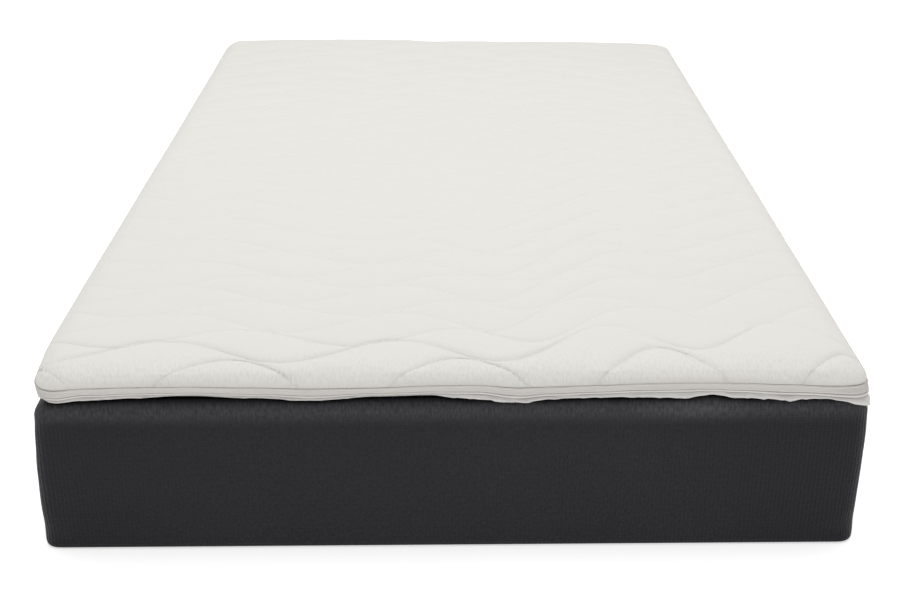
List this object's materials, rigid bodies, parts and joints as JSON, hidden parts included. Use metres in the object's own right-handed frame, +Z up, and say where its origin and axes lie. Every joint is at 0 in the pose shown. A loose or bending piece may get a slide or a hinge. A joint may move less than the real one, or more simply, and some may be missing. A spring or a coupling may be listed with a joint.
{
  "type": "single mattress with a quilted topper",
  "caption": "Dark knitted foam mattress with soft edges, and a thin white wave-quilted topper with a sewn border lying loose on it.",
  "frame": {"origin": "on the floor, under the middle of the mattress", "axes": "+Z up, +Y along the mattress from its foot end to its head end, +X across it"},
  "size_m": [1.2075, 2.012, 0.3034],
  "materials": {
    "dark_knit": "charcoal rib-knitted cover, matt with a faint sheen on the edges",
    "white_quilt": "warm white stretch knit, quilted in soft waves, matt",
    "white_border": "plain white woven band, matt",
    "white_welt": "narrow white woven strip, matt",
    "white_base": "plain white base cloth, matt"
  },
  "bodies": {
    "root": {"mattress": "dark_knit", "topper_pad": "white_quilt", "topper_band": "white_border", "topper_welt": "white_welt", "topper_base": "white_base"}
  },
  "joints": []
}
